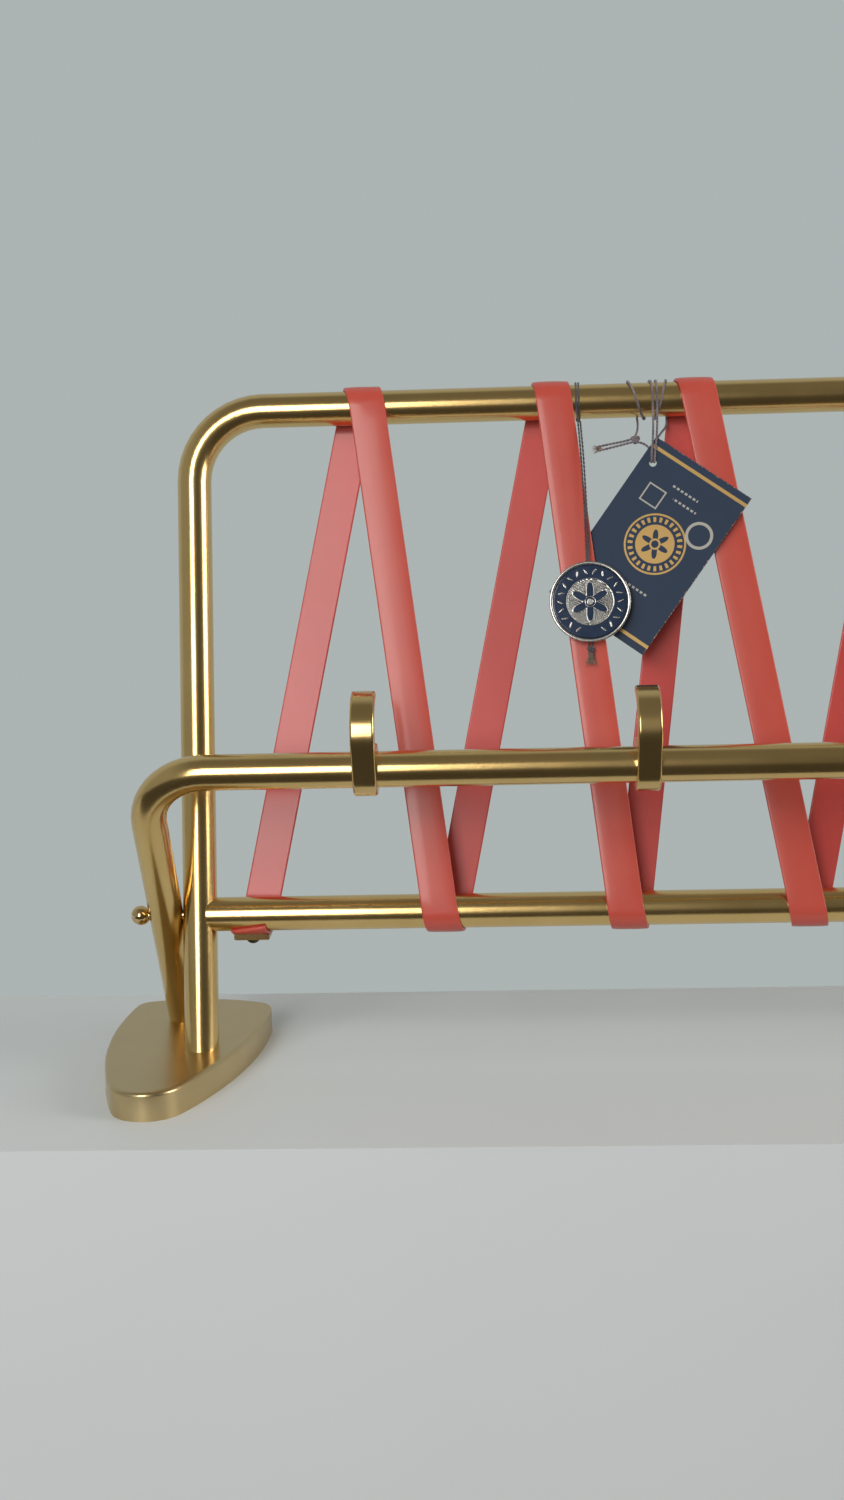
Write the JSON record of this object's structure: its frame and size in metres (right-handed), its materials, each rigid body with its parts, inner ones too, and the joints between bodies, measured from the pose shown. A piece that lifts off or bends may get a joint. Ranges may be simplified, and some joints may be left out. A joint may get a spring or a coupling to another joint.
{
  "type": "wall hat and coat rack",
  "caption": "Wall rack of bent metal tube for hats and coats, standing on its wall plates, with sliding coat hooks and a shelf laced with a glossy plastic band.",
  "frame": {"origin": "middle of the two wall plates, on their wall face", "axes": "+X along the rails, +Y towards the side that is up on a wall, +Z away from the wall plates"},
  "size_m": [0.6568, 0.1183, 0.2774],
  "materials": {
    "plate_gold": "satin gold anodised",
    "tube_gold": "satin gold anodised",
    "hook_gold": "bright gold anodised",
    "ball_gold": "bright turned",
    "clip_gold": "satin gold anodised",
    "clip_screw_dark": "blackened",
    "screw_steel": "zinc plated",
    "hanger_steel": "zinc plated",
    "plug_alloy": "plain turned",
    "band_red": "glossy coral red",
    "medal_silver": "polished silver",
    "medal_enamel": "glossy navy enamel",
    "medal_string": "twisted thread",
    "tag_string": "twisted thread",
    "tag_card": "printed, satin varnish"
  },
  "bodies": {
    "rack": {"left_wall_plate": "plate_gold", "right_wall_plate": "plate_gold", "left_hanger_plate": "hanger_steel", "right_hanger_plate": "hanger_steel", "hanger_screws": "screw_steel", "tube_end_plugs": "plug_alloy", "foot_screws": "screw_steel", "shelf_frame": "tube_gold", "hook_frame": "tube_gold", "cross_rail": "tube_gold", "cross_rail_plugs": "plug_alloy", "left_ball_screw": "ball_gold", "right_ball_screw": "ball_gold", "lacing_band": "band_red", "left_band_clip": "clip_gold", "right_band_clip": "clip_gold", "band_clip_screws": "clip_screw_dark", "tag_string": "tag_string", "tag_knots": "tag_string"},
    "medallion": {"medallion_body": "medal_silver", "medallion_enamel": "medal_enamel", "medallion_bail": "medal_silver", "medallion_string": "medal_string", "medallion_knot": "medal_string"},
    "tag": {"tag_card": "tag_card"},
    "hook_1": {"hook_1": "hook_gold"},
    "hook_2": {"hook_2": "hook_gold"},
    "hook_3": {"hook_3": "hook_gold"},
    "hook_4": {"hook_4": "hook_gold"},
    "hook_5": {"hook_5": "hook_gold"}
  },
  "joints": [
    {"name": "hook_1_slide", "type": "slide", "parent": "rack", "child": "hook_1", "axis": [1, 0, 0], "range_m": [-0.046, 0.046]},
    {"name": "hook_2_slide", "type": "slide", "parent": "rack", "child": "hook_2", "axis": [1, 0, 0], "range_m": [-0.046, 0.046]},
    {"name": "hook_3_slide", "type": "slide", "parent": "rack", "child": "hook_3", "axis": [1, 0, 0], "range_m": [-0.046, 0.046]},
    {"name": "hook_4_slide", "type": "slide", "parent": "rack", "child": "hook_4", "axis": [1, 0, 0], "range_m": [-0.046, 0.046]},
    {"name": "hook_5_slide", "type": "slide", "parent": "rack", "child": "hook_5", "axis": [1, 0, 0], "range_m": [-0.046, 0.046]},
    {"name": "medallion_swing", "type": "hinge", "parent": "rack", "child": "medallion", "pos_m": [0, 0.04301, 0.2688], "axis": [-1, 0, 0], "range_deg": [0, 75]},
    {"name": "tag_swing", "type": "hinge", "parent": "rack", "child": "tag", "pos_m": [-0.0984, 0.02943, 0.24292], "axis": [-0.1097, -0.9757, 0.1897], "range_deg": [-12, 12]}
  ]
}
